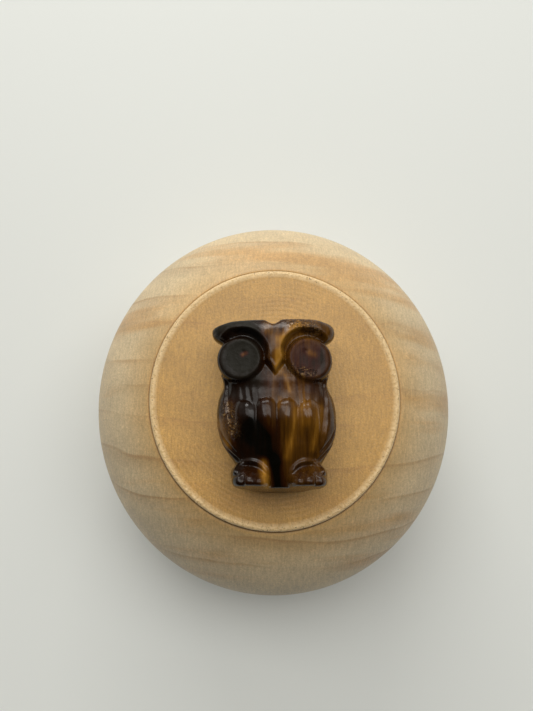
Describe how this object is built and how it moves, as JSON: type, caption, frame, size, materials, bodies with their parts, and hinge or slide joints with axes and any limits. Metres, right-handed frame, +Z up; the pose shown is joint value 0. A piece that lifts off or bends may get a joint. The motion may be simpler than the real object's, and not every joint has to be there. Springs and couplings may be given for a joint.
{
  "type": "carved owl figurine on a turned display base",
  "caption": "Small carved and polished stone owl that lies loose on the raised flat disc of a turned round wooden display base.",
  "frame": {"origin": "centre of the base's flat underside", "axes": "+Z up through the raised disc and the owl's belly, +Y towards the owl's head, +X to the right as seen from the foot end with the owl lying face up"},
  "size_m": [0.065, 0.0676, 0.0537],
  "materials": {
    "birch": "bare sanded wood, matte, end grain on the disc",
    "tigers_eye": "glossy polished stone with golden fibrous bands"
  },
  "bodies": {
    "base": {"turned_base": "birch"},
    "owl": {"stone_owl": "tigers_eye"}
  },
  "joints": [
    {"name": "owl_lift", "type": "slide", "parent": "base", "child": "owl", "axis": [0, 0, 1], "range_m": [0, 0.03]}
  ]
}
